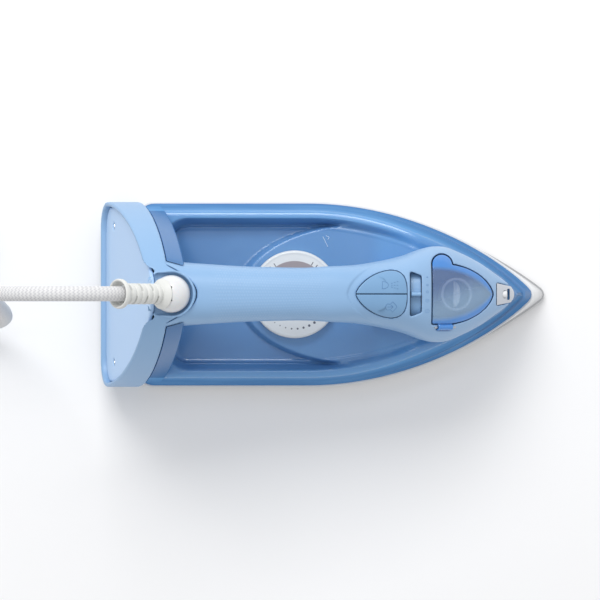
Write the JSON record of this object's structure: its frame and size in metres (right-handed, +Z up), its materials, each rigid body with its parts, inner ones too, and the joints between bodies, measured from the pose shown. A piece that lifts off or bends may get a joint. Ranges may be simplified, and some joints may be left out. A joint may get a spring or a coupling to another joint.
{
  "type": "clothes iron",
  "caption": "Household steam iron with grip handle, water tank, temperature dial, buttons, ball-jointed mains lead and plug.",
  "frame": {"origin": "on the ironing surface, midway between the heel's rear edge and the tip of the sole, on the centre line", "axes": "+X towards the tip, +Y to the left seen from the heel, +Z up"},
  "size_m": [0.5776, 0.1656, 0.1918],
  "materials": {
    "sole_metal": "satin coated casting",
    "steel": "plated",
    "brass": "turned",
    "white_plastic": "smooth moulded",
    "grey_plastic": "smooth moulded",
    "dark_plastic": "moulded",
    "tank_plastic": "translucent tinted, polished",
    "door_plastic": "translucent tinted, polished",
    "handle_plastic": "fine matt moulded",
    "back_plastic": "fine matt moulded",
    "guard_rubber": "soft moulded",
    "rubber": "moulded",
    "cord_fabric": "woven sleeve",
    "live_sleeve": "wire sleeve",
    "neutral_sleeve": "wire sleeve",
    "earth_sleeve": "wire sleeve"
  },
  "bodies": {
    "iron": {"soleplate": "sole_metal", "heating_element": "steel", "steam_chamber_lid": "steel", "thermostat": "steel", "thermal_fuse": "white_plastic", "heat_shield": "white_plastic", "sole_screw_1": "steel", "sole_screw_2": "steel", "sole_screw_3": "steel", "tank_base": "tank_plastic", "tank_top": "tank_plastic", "valve_seat": "rubber", "handle_top": "handle_plastic", "handle_bottom": "handle_plastic", "rear_housing": "handle_plastic", "back_cover": "back_plastic", "back_cover_screw_1": "steel", "back_cover_screw_2": "steel", "spray_pump": "grey_plastic", "boost_pump": "grey_plastic", "spray_spring": "steel", "boost_spring": "steel", "slider_bracket": "grey_plastic", "slider_pivot_pin": "steel", "door_pin": "steel", "filler_funnel": "grey_plastic", "nozzle_insert": "grey_plastic", "spray_nozzle": "white_plastic", "spray_hose": "rubber", "terminal_block": "grey_plastic", "cord_clamp": "dark_plastic", "supply_lead": "cord_fabric", "live_wire": "live_sleeve", "neutral_wire": "neutral_sleeve", "earth_wire": "earth_sleeve"},
    "dial": {"temperature_dial": "white_plastic", "thermostat_shaft": "brass"},
    "spray_key": {"spray_button": "handle_plastic", "spray_piston": "dark_plastic"},
    "boost_key": {"boost_button": "handle_plastic", "boost_piston": "dark_plastic"},
    "slider": {"steam_slider": "handle_plastic"},
    "valve": {"valve_rod": "brass"},
    "door": {"fill_door": "door_plastic"},
    "swivel": {"cord_ball": "white_plastic", "guard_pin": "steel"},
    "guard": {"cord_guard": "guard_rubber", "cord_line": "cord_fabric", "cord_coil": "cord_fabric", "cord_tail": "cord_fabric", "coil_tie": "dark_plastic", "plug_relief": "guard_rubber", "plug_body": "guard_rubber", "plug_pin_1": "steel", "plug_pin_2": "steel"}
  },
  "joints": [
    {"name": "dial_turn", "type": "hinge", "parent": "iron", "child": "dial", "pos_m": [-0.019, 0, 0.06], "axis": [0, 0, 1], "range_deg": [-150, 120]},
    {"name": "spray_press", "type": "slide", "parent": "iron", "child": "spray_key", "axis": [0, 0, -1], "range_m": [0, 0.004], "stiffness_N_per_m": 400, "springref_m": -0.002, "deforming": ["spray_spring"]},
    {"name": "boost_press", "type": "slide", "parent": "iron", "child": "boost_key", "axis": [0, 0, -1], "range_m": [0, 0.004], "stiffness_N_per_m": 400, "springref_m": -0.002, "deforming": ["boost_spring"]},
    {"name": "slider_turn", "type": "hinge", "parent": "iron", "child": "slider", "pos_m": [0.057, 0, 0.08636], "axis": [1, 0, 0], "range_deg": [-17, 17]},
    {"name": "valve_lift", "type": "slide", "parent": "iron", "child": "valve", "axis": [0, 0, 1], "range_m": [-0.0011, 0.0011]},
    {"name": "door_open", "type": "hinge", "parent": "iron", "child": "door", "pos_m": [0.071, -0.0209, 0.10101], "axis": [0.7895, 0, -0.6138], "range_deg": [0, 95]},
    {"name": "ball_yaw", "type": "hinge", "parent": "iron", "child": "swivel", "pos_m": [-0.094, 0, 0.143], "axis": [0, 0, 1], "range_deg": [-30, 30]},
    {"name": "guard_tilt", "type": "hinge", "parent": "swivel", "child": "guard", "pos_m": [-0.094, 0, 0.143], "axis": [0, 1, 0], "range_deg": [-10, 25]}
  ],
  "couplings": [
    {"joint": "valve_lift", "follows": "slider_turn", "m_per_rad": 0.00337}
  ]
}
